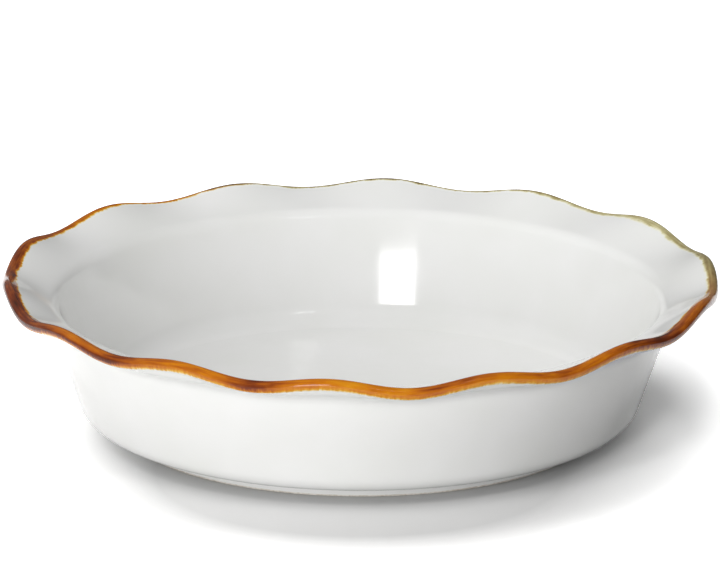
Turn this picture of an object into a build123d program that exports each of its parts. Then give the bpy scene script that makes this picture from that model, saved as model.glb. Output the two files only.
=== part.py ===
from build123d import *
from math import atan2, cos, degrees, pi, radians, sin, tan
import os

# A round, deep pie dish of glazed stoneware with a flared rim ruffled into flutes. One clay body
# carries four coats of glaze: white inside, white outside, white under the base inside the foot
# ring, and an amber band over the lip. Lengths are in millimetres and angles in degrees. The dish
# stands on the XY plane with its middle on the Z axis, and its front faces -Y.

# Lip and flange. The lip reaches this far beyond the line of the wall at its own height.
lip_radius = 133.35
lip_height = 57.0
lip_thickness = 4.8
flange_reach = 12.917
flange_slope = 22.0
cove_round = 8.0
shoulder_round = 7.0

# Ruffle of the rim: crests and troughs stand this far from the mean lip, and the firing left the
# rim a little lower at the front and back than at the sides
flutes_in_half_turn = 7
flute_rise = 1.62
rim_sag = 0.98
first_crest_turn = -4.46

# Wall and floor
wall_draft = 18.7
wall_thickness = 5.2
floor_thickness = 4.5
corner_round = 9.0
floor_round = 10.0

# Foot ring, set back from the bottom of the wall
foot_setback = 13.4
foot_width = 6.0
foot_height = 5.2
foot_root_round = 1.2
foot_edge_round = 0.9

# Glaze: coat thickness, the hairline left between coat and clay and between two coats, the height
# wiped bare round the foot, and how far the amber band runs past the rounded lip below and above
glaze_thickness = 0.5
coat_clearance = 0.02
bare_height = 1.0
amber_below_lip = 0.6
amber_above_lip = 1.5

# How the dish is divided to make it: wall and rim are lofted through radial sections of the
# flutes, and the base with its foot is turned. They meet in the flat of the floor, on a seam
# that leans inward as it rises. The lofts run past the seam, and past each half turn, and are cut
# back to them.
sections_per_flute = 4
spare_sections = 1
seam_beyond_foot = 0.6
seam_lean = 8.0
seam_overlap = 2.0

lip_round = lip_thickness / 2
lip_centre_radius = lip_radius - lip_round
lip_centre_height = lip_height - lip_round
wall_run = (lip_height - foot_height) * tan(radians(wall_draft))
bottom_radius = lip_radius - flange_reach - wall_run
foot_radius = bottom_radius - foot_setback
floor_height = foot_height + floor_thickness
foot_bore_radius = foot_radius - foot_width
coat_depth = glaze_thickness - coat_clearance
under_seam_radius = foot_radius + foot_root_round + seam_beyond_foot
floor_seam_radius = under_seam_radius - seam_lean


def lift(turn):
    """How far the lip stands above its mean height, at a turn from the front in degrees."""
    flutes = 2 * flutes_in_half_turn
    ruffle = flute_rise * cos(flutes * radians(turn - first_crest_turn))
    return ruffle - rim_sag * cos(2 * radians(turn))


def wall_radius(height, inset):
    """Radius of the leaning wall at a height, measured a given depth behind its outer face."""
    leaning = (height - foot_height) * tan(radians(wall_draft))
    return bottom_radius + leaning - inset / cos(radians(wall_draft))


def flange_meets_wall(slope, centre_height, side, inset):
    """Where a flange face, so far above the middle of the flange, meets a face of the wall."""
    height_on_axis = centre_height - lip_centre_radius * tan(slope) + side / cos(slope)
    steepness = tan(radians(wall_draft)) * tan(slope)
    height = (height_on_axis + wall_radius(0, inset) * tan(slope)) / (1 - steepness)
    return wall_radius(height, inset), height


# The flange swings up and down about its root in the middle of the wall
root_radius, root_height = flange_meets_wall(
    radians(flange_slope), lip_centre_height, 0, wall_thickness / 2
)


def flange_frame(turn):
    """The lip's centre height and the flange's slope, in radians, at a turn."""
    centre_height = lip_centre_height + lift(turn)
    slope = atan2(centre_height - root_height, lip_centre_radius - root_radius)
    return centre_height, slope


def lip_point(turn, side, along):
    """A point beside the lip's centre: above the flange's middle, and outward along it."""
    centre_height, slope = flange_frame(turn)
    return (
        lip_centre_radius + along * cos(slope) - side * sin(slope),
        centre_height + along * sin(slope) + side * cos(slope),
    )


def draw_outside(turn, depth, end):
    """Draw the outside, so deep behind its glaze, from the seam up to an end short of the lip."""
    centre_height, slope = flange_frame(turn)
    side = depth - lip_round
    under = foot_height + depth
    FilletPolyline(
        (under_seam_radius - seam_overlap, under),
        (wall_radius(under, depth), under),
        flange_meets_wall(slope, centre_height, side, depth),
        lip_point(turn, side, -end),
        radius=[corner_round - depth, cove_round + depth],
    )


def draw_lip(turn, depth):
    """Draw the rounded lip, so deep behind its glaze, between the edges of the amber band."""
    centre_height, slope = flange_frame(turn)
    radius = lip_round - depth
    Line(lip_point(turn, -radius, -amber_below_lip), lip_point(turn, -radius, 0))
    CenterArc((lip_centre_radius, centre_height), radius, degrees(slope) - 90, 180)
    Line(lip_point(turn, radius, 0), lip_point(turn, radius, -amber_above_lip))


def draw_inside(turn, depth, end):
    """Draw the inside, so deep under its glaze, from an end short of the lip down past the seam."""
    centre_height, slope = flange_frame(turn)
    side = lip_round - depth
    inset = wall_thickness - depth
    floor = floor_height - depth
    FilletPolyline(
        lip_point(turn, side, -end),
        flange_meets_wall(slope, centre_height, side, inset),
        (wall_radius(floor, inset), floor),
        (floor_seam_radius - seam_overlap, floor),
        radius=[shoulder_round - depth, floor_round + depth],
    )


def across_coat(turn, face, end):
    """Draw the edge of a coat on the flange, above (1) or below (-1) it, short of the lip."""
    Line(
        lip_point(turn, face * lip_round, -end),
        lip_point(turn, face * (lip_round - coat_depth), -end),
    )


def body_outline(turn):
    """Outline of the clay in wall and rim."""
    draw_outside(turn, glaze_thickness, amber_below_lip)
    draw_lip(turn, glaze_thickness)
    draw_inside(turn, glaze_thickness, amber_above_lip)
    Line(
        (floor_seam_radius - seam_overlap, floor_height - glaze_thickness),
        (under_seam_radius - seam_overlap, foot_height + glaze_thickness),
    )


def outside_outline(turn):
    """Outline of the outside glaze on the wall."""
    end = amber_below_lip + coat_clearance
    draw_outside(turn, 0, end)
    draw_outside(turn, coat_depth, end)
    across_coat(turn, -1, end)
    start = under_seam_radius - seam_overlap
    Line((start, foot_height), (start, foot_height + coat_depth))


def inside_outline(turn):
    """Outline of the inside glaze on the wall."""
    end = amber_above_lip + coat_clearance
    draw_inside(turn, 0, end)
    draw_inside(turn, coat_depth, end)
    across_coat(turn, 1, end)
    start = floor_seam_radius - seam_overlap
    Line((start, floor_height), (start, floor_height - coat_depth))


def amber_outline(turn):
    """Outline of the amber glaze over the lip."""
    draw_lip(turn, 0)
    draw_lip(turn, coat_depth)
    across_coat(turn, -1, amber_below_lip)
    across_coat(turn, 1, amber_above_lip)


def radial_plane(turn):
    """The upright plane at a turn from the front: X runs out along the radius and Y is up."""
    angle = radians(turn)
    return Plane(
        origin=(0, 0, 0), x_dir=(sin(angle), -cos(angle), 0), z_dir=(-cos(angle), -sin(angle), 0)
    )


def half_ring(draw_outline):
    """Loft an outline through half a turn of the dish. The other half is the same, turned."""
    steps = flutes_in_half_turn * sections_per_flute
    with BuildPart() as half:
        for step in range(-spare_sections, steps + spare_sections + 1):
            turn = degrees(pi) * step / steps
            with BuildSketch(radial_plane(turn)):
                with BuildLine():
                    draw_outline(turn)
                make_face()
        loft()
        split(bisect_by=Plane.YZ)
    return half.part


os.makedirs("parts", exist_ok=True)

# Clay body: wall, flange and lip, then floor and foot ring
with BuildPart() as stoneware_body:
    with PolarLocations(0, 2):
        add(half_ring(body_outline))
    under = foot_height + glaze_thickness
    floor = floor_height - glaze_thickness
    lean = seam_lean / (floor - under) * seam_overlap
    with BuildSketch(Plane.XZ):
        Polygon(
            (0, under - seam_overlap),
            (under_seam_radius + lean, under - seam_overlap),
            (floor_seam_radius - lean, floor + seam_overlap),
            (0, floor + seam_overlap),
            align=None,
        )
    revolve(axis=Axis.Z, mode=Mode.SUBTRACT)
    with BuildSketch(Plane.XZ):
        with BuildLine():
            foot_side = foot_radius - glaze_thickness
            foot_bore_side = foot_bore_radius + glaze_thickness
            root_round = foot_root_round + glaze_thickness
            FilletPolyline(
                (0, under),
                (foot_bore_side, under),
                (foot_bore_side, 0),
                (foot_side, 0),
                (foot_side, under),
                (under_seam_radius, under),
                radius=[root_round, foot_edge_round, foot_edge_round, root_round],
            )
            Polyline((under_seam_radius, under), (floor_seam_radius, floor), (0, floor), (0, under))
        make_face()
    revolve(axis=Axis.Z)
stoneware_body.part.label = "stoneware_body"
export_step(stoneware_body.part, "parts/stoneware_body.step")

# White glaze poured inside, over flange, wall and floor
with BuildPart() as inside_white_glaze:
    with PolarLocations(0, 2):
        add(half_ring(inside_outline))
    Cylinder(floor_seam_radius, lip_height, mode=Mode.SUBTRACT)
    with BuildSketch(Plane.XY.offset(floor_height)):
        Circle(floor_seam_radius)
    extrude(amount=-coat_depth)
inside_white_glaze.part.label = "inside_white_glaze"
export_step(inside_white_glaze.part, "parts/inside_white_glaze.step")

# White glaze outside, from the wiped foot to the underside of the lip
with BuildPart() as outside_white_glaze:
    with PolarLocations(0, 2):
        add(half_ring(outside_outline))
    Cylinder(under_seam_radius, lip_height, mode=Mode.SUBTRACT)
    with BuildSketch(Plane.XZ):
        with BuildLine():
            for depth in (0, coat_depth):
                FilletPolyline(
                    (foot_radius - depth, bare_height),
                    (foot_radius - depth, foot_height + depth),
                    (under_seam_radius, foot_height + depth),
                    radius=foot_root_round + depth,
                )
            Line((foot_radius, bare_height), (foot_radius - coat_depth, bare_height))
            Line((under_seam_radius, foot_height), (under_seam_radius, foot_height + coat_depth))
        make_face()
    revolve(axis=Axis.Z)
outside_white_glaze.part.label = "outside_white_glaze"
export_step(outside_white_glaze.part, "parts/outside_white_glaze.step")

# Amber glaze brushed over the lip
with BuildPart() as amber_rim_glaze:
    with PolarLocations(0, 2):
        add(half_ring(amber_outline))
amber_rim_glaze.part.label = "amber_rim_glaze"
export_step(amber_rim_glaze.part, "parts/amber_rim_glaze.step")

# White glaze under the base, inside the foot ring
with BuildPart() as base_white_glaze:
    with BuildSketch(Plane.XZ):
        with BuildLine():
            for depth in (0, coat_depth):
                FilletPolyline(
                    (0, foot_height + depth),
                    (foot_bore_radius + depth, foot_height + depth),
                    (foot_bore_radius + depth, bare_height),
                    radius=foot_root_round + depth,
                )
            Line((0, foot_height), (0, foot_height + coat_depth))
            Line((foot_bore_radius, bare_height), (foot_bore_radius + coat_depth, bare_height))
        make_face()
    revolve(axis=Axis.Z)
base_white_glaze.part.label = "base_white_glaze"
export_step(base_white_glaze.part, "parts/base_white_glaze.step")
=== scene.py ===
from math import cos, pi, radians, sin, tan

import bpy
import numpy as np
from mathutils import Matrix, Vector


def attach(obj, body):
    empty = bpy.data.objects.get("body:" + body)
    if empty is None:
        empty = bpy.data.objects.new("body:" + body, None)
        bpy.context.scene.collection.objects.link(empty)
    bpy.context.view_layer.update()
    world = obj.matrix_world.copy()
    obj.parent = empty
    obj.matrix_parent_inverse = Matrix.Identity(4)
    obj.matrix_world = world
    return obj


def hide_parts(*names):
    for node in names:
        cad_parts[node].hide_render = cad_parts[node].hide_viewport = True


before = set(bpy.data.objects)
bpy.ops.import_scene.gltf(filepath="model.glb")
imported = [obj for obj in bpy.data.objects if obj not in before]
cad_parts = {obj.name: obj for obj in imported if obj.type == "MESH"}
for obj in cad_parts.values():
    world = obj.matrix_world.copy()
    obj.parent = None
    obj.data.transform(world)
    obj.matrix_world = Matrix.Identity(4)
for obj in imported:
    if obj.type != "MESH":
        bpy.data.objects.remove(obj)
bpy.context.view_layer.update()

# A ruffled stoneware pie dish: a clay body under white glaze, with an amber glaze brushed on the lip.
# Profile sizes are in millimetres and repeat those of the solid model. Meshes are built in metres.
MM = 0.001

# Lip and flange
lip_radius = 133.35
lip_height = 57.0
lip_round = 2.4
flange_reach = 12.917
flange_slope = radians(22.0)
cove_round = 8.0
shoulder_round = 7.0

# Ruffle
flutes = 14
flute_rise = 1.62
rim_sag = 0.98
first_crest = radians(-4.46)

# Ruffling by hand: at a turn from the front, in degrees, how much higher the lip stands. It is
# smoothed over so many points to each side, so many times
hand_lifts = (
    (-90, 0.0), (-70, 0.0), (-58, 0.4), (-50, 0.8), (-40, 1.5), (-30, 1.3), (-20, 1.4), (-13, 1.4),
    (-6, 0.5), (2, 0.2), (20, 0.1), (40, 0.0), (50, 0.5), (60, 0.7), (68, 0.2), (80, 0.0), (150, 0.1),
    (180, 0.4), (210, 0.1),
)
smoothing_steps = 14
smoothing_rounds = 2

# Wall, floor and foot ring
wall_draft = radians(18.7)
wall_thickness = 5.2
floor_thickness = 4.5
corner_round = 9.0
floor_round = 10.0
foot_setback = 13.4
foot_width = 6.0
foot_height = 5.2
foot_root_round = 1.2
foot_edge_round = 0.9

# Glaze: how far the clay lies under it, how thick each coat is, and where the coats end
glaze = 0.5
coat_thickness = 0.48
bare_height = 1.0
amber_below_lip = 0.6
amber_above_lip = 1.5

# Unevenness of the glaze: how far it dips and sways, and how far pouring made the coat on the wall
# swell. It sways in waves, each with its radians to a millimetre along X, Y and Z, and its phase
glaze_dip = 0.1
glaze_sway = 0.09
wall_swell = 0.24
sway_waves = (
    (0.061, 0.043, 0.085, 0.3), (-0.052, 0.077, 0.06, 1.9), (0.093, -0.031, -0.12, 4.0),
    (0.027, 0.11, -0.05, 2.6), (-0.121, -0.064, 0.09, 5.2), (0.16, 0.035, 0.14, 0.9),
)

# How the amber was brushed on: at a turn from the front, in degrees, how far it reaches in over the
# lip in millimetres, and how dark it is at the lip's top and at its side
brush_shares = (
    (-180, 3.6, 0.75, 0.55), (-165, 3.6, 0.70, 0.50), (-153, 3.7, 0.60, 0.55), (-146, 3.9, 0.35, 0.60),
    (-139, 3.7, 0.40, 0.60), (-128, 4.2, 0.30, 0.60), (-118, 4.8, 0.45, 0.85), (-100, 5.6, 0.62, 0.98),
    (-85, 6.0, 0.60, 0.95), (-72, 5.0, 0.80, 0.86), (-60, 4.4, 0.45, 0.80), (-52, 4.2, 0.15, 0.72),
    (-46, 4.2, 0.50, 0.86), (-41, 4.0, 0.60, 0.70), (-36, 4.0, 0.50, 0.30), (-27, 4.2, 0.14, 0.30),
    (-22, 4.0, 0.22, 0.32), (-17, 4.0, 0.74, 0.74), (-12, 3.8, 0.34, 0.28), (-6, 3.6, 0.10, 0.14),
    (2, 3.6, 0.06, 0.18), (7, 3.8, 0.15, 0.14), (11, 4.0, 0.48, 0.28), (20, 3.9, 0.34, 0.18),
    (27, 4.2, 0.18, 0.12), (34, 4.5, 0.42, 0.18), (42, 4.7, 0.22, 0.30), (50, 5.0, 0.62, 0.60),
    (57, 5.2, 0.74, 0.70), (66, 5.4, 0.40, 0.60), (76, 5.0, 0.22, 0.62), (92, 4.6, 0.25, 0.45),
    (104, 4.8, 0.10, 0.50), (112, 5.0, 0.00, 0.45), (124, 5.2, -0.12, 0.45), (138, 4.6, -0.10, 0.50),
    (152, 3.9, 0.20, 0.50), (166, 3.6, 0.60, 0.52),
)

# Fineness of the meshes: points round the dish, along each run of a profile, and round its bends
turns_around = 980
outside_runs = (3, 5, 26, 14)
outside_bends = 12
lip_lead = 2
lip_steps = 24
lip_tail = 4
inside_runs = (16, 26, 30)
inside_bends = 14
base_runs = (3, 24)
base_bends = 6
foot_runs = (1, 4, 1)
foot_bends = 6

# A length in millimetres that is as good as none, and the degrees in a full turn
tiny = 1e-6
full_turn = 360

lip_centre = np.array([lip_radius - lip_round, lip_height - lip_round])
bottom_radius = lip_radius - flange_reach - (lip_height - foot_height) * tan(wall_draft)
foot_radius = bottom_radius - foot_setback
floor_height = foot_height + floor_thickness
foot_bore_radius = foot_radius - foot_width

# The meshes are rings of points round the axis, at these turns from the front, in radians
turn = np.arange(turns_around) * 2 * pi / turns_around


def all_round(turns, values):
    """Values that are given at some turns, in degrees, for every point round the dish."""
    return np.interp(np.degrees(turn), turns, values, period=full_turn)


def wall_radius(height, inset):
    """Radius of the leaning wall at a height, a given depth behind its outer face."""
    return bottom_radius + (height - foot_height) * tan(wall_draft) - inset / cos(wall_draft)


def flange_meets_wall(slope, centre_height, side, inset):
    """Where a flange face, so far above the middle of the flange, meets a face of the wall."""
    on_axis = centre_height - lip_centre[0] * np.tan(slope) + side / np.cos(slope)
    steepness = tan(wall_draft) * np.tan(slope)
    height = (on_axis + wall_radius(0, inset) * np.tan(slope)) / (1 - steepness)
    return np.stack([wall_radius(height, inset), height], -1)


# The lip's centre height and the flange's slope all round the dish
hand_lift = all_round(*zip(*hand_lifts))
for _ in range(smoothing_rounds):
    near = [np.roll(hand_lift, step) for step in range(-smoothing_steps, smoothing_steps + 1)]
    hand_lift = np.mean(near, axis=0)
lift = flute_rise * np.cos(flutes * (turn - first_crest)) - rim_sag * np.cos(2 * turn) + hand_lift
centre_height = lip_centre[1] + lift
root = flange_meets_wall(flange_slope, lip_centre[1], 0, wall_thickness / 2)
slope = np.arctan2(centre_height - root[1], lip_centre[0] - root[0])


def lip_point(side, along):
    """A point beside the lip's centre: above the flange's middle, and outward along it."""
    radius = lip_centre[0] + along * np.cos(slope) - side * np.sin(slope)
    return np.stack([radius, centre_height + along * np.sin(slope) + side * np.cos(slope)], -1)


def fixed(radius, height):
    """A point of the profile that is the same all round."""
    return np.broadcast_to(np.array([radius, height], float), (turns_around, 2))


def unit(vectors):
    """Vectors brought to a length of one."""
    return vectors / np.linalg.norm(vectors, axis=-1, keepdims=True)


def straight(start, end, steps, swell=0.0):
    """Points from start up to, but not including, end, swelling sideways in the middle."""
    sideways = unit((end - start)[:, ::-1] * (1, -1))
    shares = [step / steps for step in range(steps)]
    return [start + (end - start) * s + sideways * swell * sin(pi * s) for s in shares]


def rounded(corners, rounds, run_steps, arc_steps, swells=(0, 0, 0)):
    """Points along a line through the corners, with the inner corners rounded."""
    points = []
    start = corners[0]
    for index, radius in enumerate(rounds):
        corner = corners[index + 1]
        before = unit(corners[index] - corner)
        after = unit(corners[index + 2] - corner)
        half = np.arccos((before * after).sum(-1, keepdims=True)) / 2
        enter = corner + before * radius / np.tan(half)
        leave = corner + after * radius / np.tan(half)
        centre = corner + unit(before + after) * radius / np.sin(half)
        sweep = pi - 2 * half
        points += straight(start, enter, run_steps[index], swells[index])
        for step in range(arc_steps):
            share = step / arc_steps
            first = (enter - centre) * np.sin((1 - share) * sweep)
            last = (leave - centre) * np.sin(share * sweep)
            points.append(centre + (first + last) / np.sin(sweep))
        start = leave
    return points + straight(start, corners[-1], run_steps[-1]) + [corners[-1]]


def outside_path(depth):
    """The outside, so deep behind its glaze, from the wiped foot to the amber band."""
    under = foot_height + depth
    corners = [
        fixed(foot_radius - depth, bare_height),
        fixed(foot_radius - depth, under),
        fixed(wall_radius(under, depth), under),
        flange_meets_wall(slope, centre_height, depth - lip_round, depth),
        lip_point(depth - lip_round, -amber_below_lip),
    ]
    rounds = [foot_root_round + depth, corner_round - depth, cove_round + depth]
    return rounded(corners, rounds, outside_runs, outside_bends)


def lip_path(depth):
    """The rounded lip, so deep behind its glaze, from the lower to the upper edge of the amber."""
    radius = lip_round - depth
    points = straight(lip_point(-radius, -amber_below_lip), lip_point(-radius, 0), lip_lead)
    for step in range(lip_steps):
        angle = pi * step / lip_steps - pi / 2
        points.append(lip_point(radius * sin(angle), radius * cos(angle)))
    end = lip_point(radius, -amber_above_lip)
    return points + straight(lip_point(radius, 0), end, lip_tail) + [end]


def inside_path(depth, swell=0.0):
    """The inside, so deep under its glaze, from the amber band down the wall to the axis."""
    floor = floor_height - depth
    inset = wall_thickness - depth
    corners = [
        lip_point(lip_round - depth, -amber_above_lip),
        flange_meets_wall(slope, centre_height, lip_round - depth, inset),
        fixed(wall_radius(floor, inset), floor),
        fixed(0, floor),
    ]
    rounds = [shoulder_round - depth, floor_round + depth]
    return rounded(corners, rounds, inside_runs, inside_bends, (0, swell))


def base_path(depth):
    """The underside inside the foot ring, from the wiped foot to the axis."""
    under = foot_height + depth
    bore = foot_bore_radius + depth
    corners = [fixed(bore, bare_height), fixed(bore, under), fixed(0, under)]
    return rounded(corners, [foot_root_round + depth], base_runs, base_bends)


def foot_path():
    """The bare clay foot, from its bore under its standing edge to its outer side."""
    bore = foot_bore_radius + glaze
    outer = foot_radius - glaze
    corners = [fixed(bore, bare_height), fixed(bore, 0), fixed(outer, 0), fixed(outer, bare_height)]
    return rounded(corners, [foot_edge_round, foot_edge_round], foot_runs, foot_bends)


def spin(path):
    """Profile points spun into rings of points in space, in millimetres."""
    rings = np.stack(path)
    radius = rings[..., 0]
    return np.stack([radius * np.sin(turn), -radius * np.cos(turn), rings[..., 1]], -1)


def sway(points):
    """How far the uneven glaze has swayed at some points, as a share from 0 to 1."""
    total = sum(np.sin(points @ np.array(slopes) + phase) for *slopes, phase in sway_waves)
    return 0.5 + total / (2 * len(sway_waves))


def swayed(rings):
    """Rings of glaze, sunk a little towards the clay where the coat lies thinner."""
    across = np.gradient(rings, axis=0)
    around = np.roll(rings, -1, axis=1) - np.roll(rings, 1, axis=1)
    inward = np.cross(across, around)
    inward = inward / np.maximum(np.linalg.norm(inward, axis=-1, keepdims=True), tiny)
    return rings + inward * (glaze_dip + glaze_sway * sway(rings)[..., None])


def along(path):
    """How far each ring lies along its path, in millimetres."""
    steps = np.linalg.norm(np.diff(np.stack(path), axis=0), axis=-1)
    return np.concatenate([np.zeros((1, turns_around)), np.cumsum(steps, axis=0)])


def ring_faces(on_axis, starts):
    """Corners of the faces that join each ring to the next, and the last one to the first."""
    here = np.arange(turns_around)
    after = np.roll(here, -1)
    blocks = []
    for ring, low in enumerate(starts):
        following = (ring + 1) % len(starts)
        high = starts[following]
        if on_axis[ring] and on_axis[following]:
            continue
        if on_axis[ring]:
            corners = (np.full(turns_around, low), high + after, high + here)
        elif on_axis[following]:
            corners = (low + here, low + after, np.full(turns_around, high))
        else:
            corners = (low + here, low + after, high + after, high + here)
        blocks.append(np.stack(corners, -1))
    return blocks


def mark_sharp(mesh, ring_of, sharp_rings):
    """Shade the edges that run along some of the rings as sharp ones."""
    ends = np.zeros(2 * len(mesh.edges), int)
    mesh.edges.foreach_get("vertices", ends)
    rings = ring_of[ends.reshape(-1, 2)]
    sharp = (rings[:, 0] == rings[:, 1]) & np.isin(rings[:, 0], sharp_rings)
    mesh.attributes.new("sharp_edge", "BOOLEAN", "EDGE").data.foreach_set("value", sharp)


# The brushing at every point round the dish: its reach, and its tone at the top and at the side
brush_turns, *brush_columns = zip(*brush_shares)
brushed = np.stack([all_round(brush_turns, column) for column in brush_columns], -1)


def describe_lip(mesh, over, step_of):
    """Tell the glaze how far over the lip a point lies, where on the unrolled lip, and its brushing."""
    around = np.stack([np.sin(turn), -np.cos(turn)], -1)[step_of] * lip_radius
    lip_place = np.concatenate([around, over[:, None]], -1)
    for name, kind, field, values in (
        ("over", "FLOAT", "value", over),
        ("lip_place", "FLOAT_VECTOR", "vector", lip_place),
        ("brush", "FLOAT_VECTOR", "vector", brushed[step_of]),
    ):
        made = mesh.attributes.new(name, kind, "POINT")
        made.data.foreach_set(field, values.astype(np.float32).ravel())


def placed(name, data):
    """A new object in the scene."""
    made = bpy.data.objects.new(name, data)
    bpy.context.scene.collection.objects.link(made)
    return made


def ring_mesh(name, rings, over, sharp_rings=()):
    """A piece made of rings joined in a closed loop. A ring on the axis shrinks to a point."""
    on_axis = np.hypot(rings[..., 0], rings[..., 1]).max(-1) < tiny
    sizes = np.where(on_axis, 1, turns_around)
    starts = np.cumsum(sizes) - sizes
    ring_of = np.repeat(np.arange(len(rings)), sizes)
    step_of = np.concatenate([np.arange(size) for size in sizes])
    faces = ring_faces(on_axis, starts)
    corners = np.concatenate([block.ravel() for block in faces])
    totals = np.concatenate([np.full(len(block), block.shape[1]) for block in faces])
    mesh = bpy.data.meshes.new(name)
    mesh.vertices.add(len(ring_of))
    mesh.vertices.foreach_set("co", (rings[ring_of, step_of] * MM).ravel())
    mesh.loops.add(len(corners))
    mesh.loops.foreach_set("vertex_index", corners)
    mesh.polygons.add(len(totals))
    mesh.polygons.foreach_set("loop_start", np.cumsum(totals) - totals)
    mesh.polygons.foreach_set("use_smooth", np.ones(len(totals), bool))
    mesh.update(calc_edges=True)
    mark_sharp(mesh, ring_of, sharp_rings)
    describe_lip(mesh, over[ring_of, step_of], step_of)
    piece = placed(name, mesh)
    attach(piece, "root")
    return piece


def coat(name, shown, hidden, over):
    """A closed coat of glaze, from its shown rings back along its hidden ones."""
    last = len(shown) - 1
    rings = np.concatenate([shown, hidden[::-1]])
    both_over = np.concatenate([over, over[::-1]])
    return ring_mesh(name, rings, both_over, (0, last, last + 1, 2 * last + 1))


# The glazed skin is laid out in one go, from the foot over the lip to the middle of the floor, so that
# the coats meet without a step. Then it is cut into the coats.
skin_parts = (outside_path(0), lip_path(0), inside_path(0, wall_swell))
skin_path = skin_parts[0] + skin_parts[1][1:] + skin_parts[2][1:]
skin = swayed(spin(skin_path))
amber_start = len(skin_parts[0]) - 1
amber_end = amber_start + len(skin_parts[1]) - 1
lip_edge = amber_start + lip_lead + lip_steps // 2

# How far each ring of it lies over the lip, counted from the lip's outermost ring
skin_along = along(skin_path)
skin_over = skin_along - skin_along[lip_edge]
outside_rows = slice(0, amber_start + 1)
amber_rows = slice(amber_start, amber_end + 1)
inside_rows = slice(amber_end, len(skin))

# White glaze outside, the amber over the lip, and white glaze inside
outside_hidden = spin(outside_path(coat_thickness))
outside = coat("outside_glaze", skin[outside_rows], outside_hidden, skin_over[outside_rows])
amber_hidden = spin(lip_path(coat_thickness))
amber = coat("amber_glaze", skin[amber_rows], amber_hidden, skin_over[amber_rows])
inside_hidden = spin(inside_path(coat_thickness))
inside = coat("inside_glaze", skin[inside_rows], inside_hidden, skin_over[inside_rows])

# White glaze under the base, as far from the lip as the foot is
base_shown = swayed(spin(base_path(0))[::-1])
base_hidden = spin(base_path(coat_thickness))[::-1]
far_from_lip = np.full(base_shown.shape[:2], skin_over[0].min())
base = coat("base_glaze", base_shown, base_hidden, far_from_lip)

# Clay body
clay_path = (
    outside_path(glaze) + lip_path(glaze)[1:] + inside_path(glaze)[1:]
    + base_path(glaze)[::-1] + foot_path()[1:-1]
)
clay = ring_mesh("clay_body", spin(clay_path), along(clay_path))

pieces = (
    (inside, "inside_white_glaze", "inside_white"),
    (outside, "outside_white_glaze", "outside_white"),
    (amber, "amber_rim_glaze", "amber_rim"),
    (base, "base_white_glaze", "base_white"),
    (clay, "stoneware_body", "stoneware"),
)
for piece, replaced, slot in pieces:
    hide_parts(replaced)


class Nodes:
    """The nodes of a material or of the world, and the few steps that they are made of."""

    def __init__(self, tree):
        self.tree = tree

    def feed(self, node, inputs):
        """Give a node its inputs, which are values or the outputs of other nodes."""
        for key, value in inputs.items():
            if isinstance(value, bpy.types.NodeSocket):
                self.tree.links.new(value, node.inputs[key])
            else:
                node.inputs[key].default_value = value

    def add(self, kind, inputs, **settings):
        """The outputs of a new node with these inputs and settings."""
        made = self.tree.nodes.new("ShaderNode" + kind)
        for key, value in settings.items():
            setattr(made, key, value)
        self.feed(made, inputs)
        return made.outputs

    def attribute(self, name, output):
        """What the mesh keeps under a name."""
        return self.add("Attribute", {}, attribute_name=name)[output]

    def parts(self, vector):
        """The three numbers in a vector."""
        outputs = self.add("SeparateXYZ", {0: vector})
        return outputs[0], outputs[1], outputs[2]

    def math(self, operation, first, second):
        """A number worked out from two others."""
        return self.add("Math", {0: first, 1: second}, operation=operation)[0]

    def measured(self, operation, *vectors):
        """A number worked out from vectors."""
        return self.add("VectorMath", dict(enumerate(vectors)), operation=operation)["Value"]

    def sum_of(self, total, *weighted):
        """A number and others added to it, each with its weight."""
        for source, weight in weighted:
            total = self.add("Math", {0: source, 1: weight, 2: total}, operation="MULTIPLY_ADD")[0]
        return total

    def ranged(self, value, ends, goals=(0.0, 1.0), **settings):
        """A number moved from the range between two ends to that between two goals."""
        inputs = {0: value, 1: ends[0], 2: ends[1], 3: goals[0], 4: goals[1]}
        return self.add("MapRange", inputs, **settings)[0]

    def smooth(self, value, ends):
        """A share that eases from 0 to 1 between two ends."""
        return self.ranged(value, ends, interpolation_type="SMOOTHSTEP")

    def noise(self, source, stretch, detail, seed):
        """Noise from 0 to 1, with its waves to a unit along each axis, its detail and its seed."""
        place = self.add("Mapping", {"Vector": source, "Location": (seed, seed, seed), "Scale": stretch})
        return self.add("TexNoise", {"Vector": place[0], "Scale": 1.0, "Detail": detail})[0]

    def marks(self, source, noise_settings):
        """Noise from -0.5 to 0.5, for marks that push what they are added to both ways."""
        return self.math("SUBTRACT", self.noise(source, *noise_settings), 0.5)

    def ramp(self, value, stops):
        """Colours along a value from 0 to 1."""
        colours = self.add("ValToRGB", {0: value})[0]
        elements = colours.node.color_ramp.elements
        for element, (place, colour) in zip(elements, (stops[0], stops[-1])):
            element.position = place
            element.color = (*colour, 1)
        for place, colour in stops[1:-1]:
            elements.new(place).color = (*colour, 1)
        return colours

    def mixed(self, share, first, second):
        """A number between two others."""
        return self.add("Mix", {0: share, 2: first, 3: second})[0]

    def mixed_colours(self, share, first, second, blend="MIX"):
        """A colour between two others, or one worked out from both."""
        inputs = {0: share, 6: first, 7: second}
        return self.add("Mix", inputs, data_type="RGBA", blend_type=blend)[2]

    def bump(self, height, strength, distance):
        """The surface's direction with a relief on it, whose height is in metres."""
        return self.add("Bump", {"Height": height, "Strength": strength, "Distance": distance})[0]


def new_material(name):
    """A material and its nodes."""
    material = bpy.data.materials.new(name)
    material.use_nodes = True
    return material, Nodes(material.node_tree)


# Brush marks on the unrolled lip: fine strokes over it, streaks along it, and blots. Each has its
# waves to a millimetre, the last of them over the lip, then its detail and its seed
stroke_noise = ((1.05, 1.05, 0.2), 2.0, 3.0)
streak_noise = ((0.09, 0.09, 0.9), 3.0, 11.0)
blot_noise = ((0.17, 0.17, 0.3), 4.0, 27.0)

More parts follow.
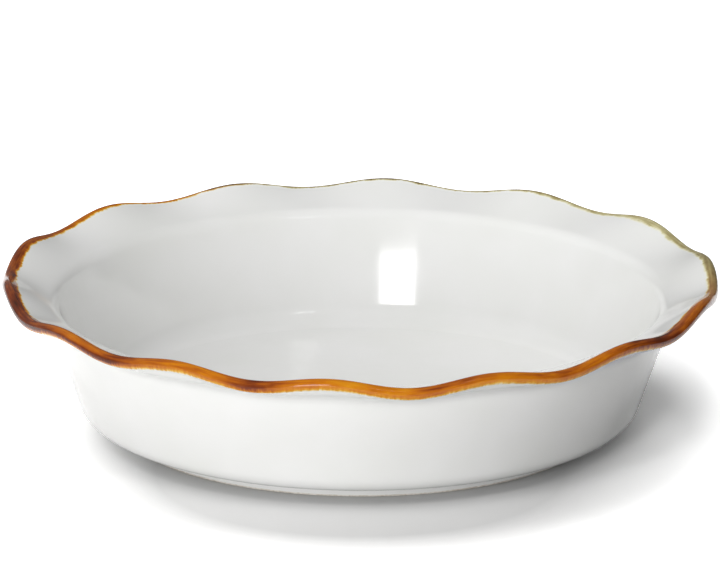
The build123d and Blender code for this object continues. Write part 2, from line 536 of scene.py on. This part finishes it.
# Edges of the amber, in millimetres over the lip: how far strokes and blots push them, and between
# where and where they feather out
inner_stroke = 0.9
inner_blot = 2.4
inner_feather = (0.9, -0.9)
lower_stroke = 2.4
lower_blot = 1.4
lower_feather = (-4.4, -0.6)

# Darkness of the amber: where the lip's side goes over into its top, how much streaks and blots
# darken it, and how thick it lies from its palest to its darkest tone
side_to_top = (-1.2, 1.4)
streak_darkening = 0.9
blot_darkening = 0.45
tone_range = (-0.6, 1.0)
thickness_shares = (0.06, 1.0)

# Colours from bare white to the thickest amber. Round the back and the right it is thin, and looks
# olive: so much of the way right counts as way back, and there it goes over, in millimetres
white_colour = (0.84, 0.84, 0.83)
amber_stops = (
    (0.0, white_colour), (0.06, (0.84, 0.80, 0.64)), (0.13, (0.83, 0.71, 0.40)),
    (0.22, (0.77, 0.47, 0.08)), (0.34, (0.66, 0.275, 0.008)), (0.5, (0.54, 0.165, 0.002)),
    (0.66, (0.38, 0.09, 0.004)), (0.82, (0.17, 0.028, 0.003)), (1.0, (0.035, 0.01, 0.004)),
)
olive_stops = (
    (0.0, white_colour), (0.1, (0.82, 0.80, 0.64)), (0.25, (0.62, 0.57, 0.33)),
    (0.45, (0.36, 0.30, 0.13)), (0.7, (0.19, 0.135, 0.05)), (1.0, (0.07, 0.045, 0.02)),
)
rightward_share = 0.7
olive_range = (50.0, 110.0)

# The glaze itself: pools, orange peel and pinholes with their waves to a metre, detail and seed. The
# relief of pinholes and amber is counted in that of the peel, which is in metres. Last comes how
# strongly white and amber mirror, where 0.5 is glass
pool_noise = ((28.0, 28.0, 28.0), 2.0, 5.0)
pool_stops = ((0.3, (0.965, 0.97, 0.955)), (0.65, (1.0, 1.0, 1.0)))
pool_range = (0.3, 0.7)
glaze_roughness = (0.07, 0.13)
peel_noise = ((150.0, 150.0, 150.0), 1.0, 9.0)
peel_relief = 0.00003
pinhole_noise = ((1400.0, 1400.0, 1400.0), 1.0, 2.0)
pinhole_relief = 0.06
amber_relief = 1.4
white_mirroring = 0.5
amber_mirroring = 0.24


def brushed_amber(nodes):
    """How well the brushed amber covers each place, and how thick it lies there, as shares."""
    over = nodes.attribute("over", "Fac")
    lip_place = nodes.attribute("lip_place", "Vector")
    reach, top_tone, side_tone = nodes.parts(nodes.attribute("brush", "Vector"))
    strokes = nodes.marks(lip_place, stroke_noise)
    streaks = nodes.marks(lip_place, streak_noise)
    blots = nodes.marks(lip_place, blot_noise)

    # Where it covers the white, between its feathered edges
    from_inner = nodes.sum_of(over, (reach, -1.0), (strokes, -inner_stroke), (blots, -inner_blot))
    from_lower = nodes.sum_of(over, (strokes, -lower_stroke), (blots, -lower_blot))
    covered_in = nodes.smooth(from_inner, inner_feather)
    covered_low = nodes.smooth(from_lower, lower_feather)
    cover = nodes.math("MULTIPLY", covered_in, covered_low)

    # How thick and dark it lies
    brush_tone = nodes.mixed(nodes.smooth(over, side_to_top), side_tone, top_tone)
    tone = nodes.sum_of(brush_tone, (streaks, streak_darkening), (blots, blot_darkening))
    thickness = nodes.ranged(tone, tone_range, thickness_shares)
    return cover, nodes.math("MULTIPLY", cover, thickness)


def glaze_colours(nodes, thickness):
    """White, amber where the amber lies, and olive where it lies thin."""
    right, back, _ = nodes.parts(nodes.attribute("lip_place", "Vector"))
    olive_share = nodes.smooth(nodes.sum_of(back, (right, rightward_share)), olive_range)
    ambers = nodes.ramp(thickness, amber_stops)
    olives = nodes.ramp(thickness, olive_stops)
    return nodes.mixed_colours(olive_share, ambers, olives)


def glaze_material(name, mirroring):
    """Glossy white glaze that goes over into brushed amber near the lip."""
    material, nodes = new_material(name)
    cover, thickness = brushed_amber(nodes)
    colours = glaze_colours(nodes, thickness)

    # Pooling and unevenness of the glaze itself
    place = nodes.add("TexCoord", {})["Object"]
    pools = nodes.noise(place, *pool_noise)
    tinted = nodes.mixed_colours(1.0, colours, nodes.ramp(pools, pool_stops), "MULTIPLY")

    # Orange peel, and the amber standing a little proud
    peel = nodes.noise(place, *peel_noise)
    pinholes = nodes.noise(place, *pinhole_noise)
    height = nodes.sum_of(peel, (pinholes, pinhole_relief), (cover, amber_relief))
    nodes.feed(material.node_tree.nodes["Principled BSDF"], {
        "Base Color": tinted,
        "Roughness": nodes.ranged(pools, pool_range, glaze_roughness),
        "Specular IOR Level": mirroring,
        "Normal": nodes.bump(height, 1.0, peel_relief),
    })
    return material


# Bare clay: grains and patches to a metre and their detail, how much the patches count, the colours,
# and the grains' relief in metres
grain_scale = 900.0
grain_detail = 3.0
patch_scale = 60.0
patch_detail = 2.0
patch_share = 0.35
clay_stops = ((0.35, (0.6, 0.55, 0.48)), (0.5, (0.72, 0.68, 0.62)), (0.62, (0.78, 0.75, 0.7)))
clay_roughness = (0.7, 0.95)
grain_strength = 0.6
grain_relief = 0.0002


def clay_material():
    """Bare buff stoneware, as on the wiped foot."""
    material, nodes = new_material("bare_clay")
    place = nodes.add("TexCoord", {})["Object"]
    grains = nodes.add("TexNoise", {"Vector": place, "Scale": grain_scale, "Detail": grain_detail})[0]
    patches = nodes.add("TexNoise", {"Vector": place, "Scale": patch_scale, "Detail": patch_detail})[0]
    nodes.feed(material.node_tree.nodes["Principled BSDF"], {
        "Base Color": nodes.ramp(nodes.mixed(patch_share, grains, patches), clay_stops),
        "Roughness": nodes.ranged(grains, (0.0, 1.0), clay_roughness),
        "Normal": nodes.bump(grains, grain_strength, grain_relief),
    })
    return material


white = glaze_material("white_glaze", white_mirroring)
for piece in (inside, outside, base):
    piece.data.materials.append(white)
amber.data.materials.append(glaze_material("amber_glaze", amber_mirroring))
clay.data.materials.append(clay_material())

# Floor, in metres. The light that it sends up to the dish fades towards the back right. To the camera
# and in reflections it carries painted light and shade: it grows white away from a spot in front, where
# it holds a painted shadow, and it is darker right round the foot with a painted contact shadow.
floor_reach = 8.0
fading_way = (0.7, 0.7, 0)
fading_range = (-0.14, 0.08)
fading_shares = (0.86, 0.1)
front_spot = (0, -0.06, 0)
# Painted light and shade on the floor: darker near the spot in front, where the dish's shadow falls, and
# white away from it
painted_light_and_shade_range = (0.075, 0.125)
painted_light_and_shade_levels = (0.83, 2.0)
# Painted contact shadow: how far from the axis the floor is darkened round the foot, and how dark
painted_foot_shadow_range = (0.08, 0.1)
painted_foot_shadow_shares = (0.5, 1.0)


def floor_material():
    """A pale floor, with one colour for the light it sends up and another, with painted light and shadow
    on it, for what sees it.
    """
    material, nodes = new_material("floor")
    ray = nodes.add("LightPath", {})
    looked_at = ray["Is Camera Ray"]
    for kind in ("Is Glossy Ray", "Is Transmission Ray"):
        looked_at = nodes.math("MAXIMUM", looked_at, ray[kind])
    spot = nodes.add("TexCoord", {})["Object"]
    to_back_right = nodes.measured("DOT_PRODUCT", spot, fading_way)
    sent = nodes.add("BsdfDiffuse", {"Color": nodes.ranged(to_back_right, fading_range, fading_shares)})
    # Painted light and shade: the floor darker near the spot in front and lighter away from it
    from_front = nodes.measured("DISTANCE", spot, front_spot)
    painted_light_and_shade = nodes.ranged(from_front, painted_light_and_shade_range, painted_light_and_shade_levels)
    # Painted contact shadow: the floor darker right round the foot
    painted_foot_shadow = nodes.ranged(nodes.measured("LENGTH", spot), painted_foot_shadow_range, painted_foot_shadow_shares)
    seen = nodes.add("BsdfDiffuse", {"Color": nodes.math("MULTIPLY", painted_light_and_shade, painted_foot_shadow)})
    surface = nodes.add("MixShader", {0: looked_at, 1: sent[0], 2: seen[0]})[0]
    nodes.feed(material.node_tree.nodes["Material Output"], {"Surface": surface})
    return material


floor_mesh = bpy.data.meshes.new("floor")
floor_corners = [
    (x * floor_reach, y * floor_reach, 0) for x, y in ((-1, -1), (1, -1), (1, 1), (-1, 1))
]
floor_mesh.from_pydata(floor_corners, [], [(0, 1, 2, 3)])
floor_mesh.materials.append(floor_material())
placed("floor", floor_mesh)

# Camera: its distance from the middle of the foot in metres, how steeply it looks down on it, how far
# above it and how far tilted it looks, how far it sees, and its focal length in pixels of the picture
camera_distance = 4.0
camera_rise = radians(17.464)
camera_pitch = radians(0.766)
camera_roll = radians(0.195)
camera_sight = 50
focal_px = 10712.0
picture_px = 720.0
sensor_mm = 36.0

position = Vector((0, -camera_distance * cos(camera_rise), camera_distance * sin(camera_rise)))
ahead = -position.normalized()
level = Vector((1, 0, 0))
look = ahead * cos(camera_pitch) + level.cross(ahead) * sin(camera_pitch)
upright = level.cross(look)
rolled_right = level * cos(camera_roll) + upright * sin(camera_roll)
rolled_up = upright * cos(camera_roll) - level * sin(camera_roll)
turned = Matrix((rolled_right, rolled_up, -look)).transposed().to_4x4()
camera_data = bpy.data.cameras.new("camera")
camera_data.sensor_width = sensor_mm
camera_data.lens = focal_px / picture_px * sensor_mm
camera_data.clip_end = camera_sight
camera = placed("camera", camera_data)
camera.matrix_world = Matrix.Translation(position) @ turned
bpy.context.scene.camera = camera


def toward(azimuth, elevation):
    """A direction: azimuth from the camera towards the photograph's right, and height angle."""
    a = radians(azimuth)
    e = radians(elevation)
    return Vector((sin(a) * cos(e), -cos(a) * cos(e), sin(e)))


# Lamps: azimuth and height angle in degrees, width and height in metres, watts, and whether the glaze
# mirrors it
lamp_distance = 2.2
lamps = (
    ("key_strip", -16, 12.6, 0.55, 0.86, 18.5, True),
    ("front_fill", 8, 14, 1.6, 1.3, 8.6, False),
    ("overhead", 180, 81, 1.0, 1.0, 9.8, False),
    ("top_front", 3, 54, 0.5, 0.5, 7.0, False),
    ("glint", 31, 54, 0.35, 0.12, 1.2, True),
    ("left_back", -120, 35, 1.4, 1.2, 9.0, False),
)
for name, azimuth, elevation, width, height, watts, mirrored in lamps:
    lamp_data = bpy.data.lights.new(name, "AREA")
    lamp_data.shape = "RECTANGLE"
    lamp_data.size = width
    lamp_data.size_y = height
    lamp_data.energy = watts
    lamp_way = toward(azimuth, elevation)
    lamp = placed(name, lamp_data)
    lamp.location = lamp_way * lamp_distance
    lamp.rotation_mode = "QUATERNION"
    lamp.rotation_quaternion = lamp_way.to_track_quat("Z", "Y")
    lamp.visible_glossy = mirrored

# World: a pale room, bright on this side and dark on the other
room_side = toward(-70, 30)
room_strength = (0.0, 0.46)
world = bpy.data.worlds.new("studio")
world.use_nodes = True
room = Nodes(world.node_tree)
sky_way = room.add("TexCoord", {})["Generated"]
to_side = room.measured("DOT_PRODUCT", sky_way, room_side)
strength = room.ranged(to_side, (-1.0, 1.0), room_strength)
room.feed(world.node_tree.nodes["Background"], {"Color": (1, 1, 1, 1), "Strength": strength})
bpy.context.scene.world = world
bpy.context.scene.view_settings.view_transform = "Standard"
